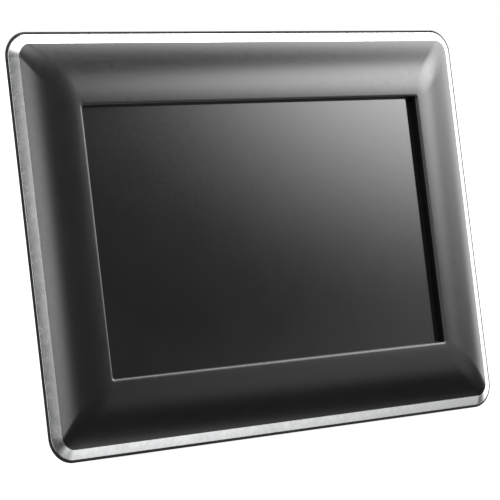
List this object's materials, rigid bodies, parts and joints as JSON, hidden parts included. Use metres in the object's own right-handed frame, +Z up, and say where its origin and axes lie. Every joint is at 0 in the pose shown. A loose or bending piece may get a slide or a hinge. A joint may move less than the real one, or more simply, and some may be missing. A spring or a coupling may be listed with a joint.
{
  "type": "digital photo frame",
  "caption": "Leaning digital photo frame with a wide gloss black border in a bright trim, a recessed screen and a folding rear leg.",
  "frame": {"origin": "middle of the footprint's box, on the table, with the leg open", "axes": "+Z up; the screen faces -Y and leans back 10.6 degrees; +X to the right of a person who looks at the screen"},
  "size_m": [0.204, 0.0794, 0.1426],
  "materials": {
    "gloss_black_plastic": "high gloss, moulded",
    "textured_black_plastic": "fine moulded texture",
    "bright_trim": "bright satin plating",
    "key_plastic": "satin",
    "black_rubber": "matt",
    "screen_glass": "anti-glare",
    "module_steel": "pressed sheet",
    "plated_steel": "nickel plated",
    "board_laminate": "solder mask",
    "black_resin": "moulded",
    "clear_acrylic": "polished",
    "white_polyester": "matt",
    "polyimide_film": "flexible film"
  },
  "bodies": {
    "housing": {"front_bezel": "gloss_black_plastic", "trim_ring": "bright_trim", "screen_gasket": "black_rubber", "lcd_glass": "screen_glass", "lcd_metal_frame": "module_steel", "diffuser_sheet": "white_polyester", "light_guide": "clear_acrylic", "led_strip": "white_polyester", "backlight_tray": "module_steel", "lcd_bracket_left": "module_steel", "lcd_bracket_right": "module_steel", "bracket_screw_1": "plated_steel", "bracket_screw_2": "plated_steel", "bracket_screw_3": "plated_steel", "bracket_screw_4": "plated_steel", "rear_cover": "textured_black_plastic", "case_screw_1": "plated_steel", "case_screw_2": "plated_steel", "case_screw_3": "plated_steel", "case_screw_4": "plated_steel", "main_board": "board_laminate", "board_screw_1": "plated_steel", "board_screw_2": "plated_steel", "processor_chip": "black_resin", "memory_chip": "black_resin", "ribbon_connector": "white_polyester", "lcd_ribbon": "polyimide_film", "card_socket": "plated_steel", "usb_host_socket": "plated_steel", "usb_device_socket": "plated_steel", "dc_jack": "black_resin", "power_switch_body": "black_resin", "speaker_left": "black_resin", "speaker_right": "black_resin", "key_board": "board_laminate", "key_switch_up": "black_resin", "key_switch_left": "black_resin", "key_switch_down": "black_resin", "key_switch_right": "black_resin", "key_switch_ok": "black_resin", "key_switch_menu": "black_resin", "key_switch_back": "black_resin", "stand_bracket": "textured_black_plastic", "stand_screw_1": "plated_steel", "stand_screw_2": "plated_steel", "stand_pin": "plated_steel", "stand_washer_left": "plated_steel", "stand_washer_right": "plated_steel", "foot_left": "black_rubber", "foot_right": "black_rubber"},
    "power_slider": {"power_switch_slider": "key_plastic"},
    "leg": {"stand_leg": "textured_black_plastic", "stand_foot_pad": "black_rubber"},
    "key_up": {"button_up": "key_plastic"},
    "key_left": {"button_left": "key_plastic"},
    "key_down": {"button_down": "key_plastic"},
    "key_right": {"button_right": "key_plastic"},
    "key_ok": {"button_ok": "key_plastic"},
    "key_menu": {"button_menu": "key_plastic"},
    "key_back": {"button_back": "key_plastic"}
  },
  "joints": [
    {"name": "stand_hinge", "type": "hinge", "parent": "housing", "child": "leg", "pos_m": [0, 0.00778, 0.09798], "axis": [1, 0, 0], "range_deg": [-26.6, 0]},
    {"name": "power_slide", "type": "slide", "parent": "housing", "child": "power_slider", "axis": [0, 0.184, 0.9829], "range_m": [0, 0.003]},
    {"name": "up_press", "type": "slide", "parent": "housing", "child": "key_up", "axis": [0, -0.9829, 0.184], "range_m": [0, 0.0007], "stiffness_N_per_m": 400, "springref_m": -0.0008},
    {"name": "left_press", "type": "slide", "parent": "housing", "child": "key_left", "axis": [0, -0.9829, 0.184], "range_m": [0, 0.0007], "stiffness_N_per_m": 400, "springref_m": -0.0008},
    {"name": "down_press", "type": "slide", "parent": "housing", "child": "key_down", "axis": [0, -0.9829, 0.184], "range_m": [0, 0.0007], "stiffness_N_per_m": 400, "springref_m": -0.0008},
    {"name": "right_press", "type": "slide", "parent": "housing", "child": "key_right", "axis": [0, -0.9829, 0.184], "range_m": [0, 0.0007], "stiffness_N_per_m": 400, "springref_m": -0.0008},
    {"name": "ok_press", "type": "slide", "parent": "housing", "child": "key_ok", "axis": [0, -0.9829, 0.184], "range_m": [0, 0.0007], "stiffness_N_per_m": 400, "springref_m": -0.0008},
    {"name": "menu_press", "type": "slide", "parent": "housing", "child": "key_menu", "axis": [0, -0.9829, 0.184], "range_m": [0, 0.0007], "stiffness_N_per_m": 400, "springref_m": -0.0008},
    {"name": "back_press", "type": "slide", "parent": "housing", "child": "key_back", "axis": [0, -0.9829, 0.184], "range_m": [0, 0.0007], "stiffness_N_per_m": 400, "springref_m": -0.0008}
  ]
}
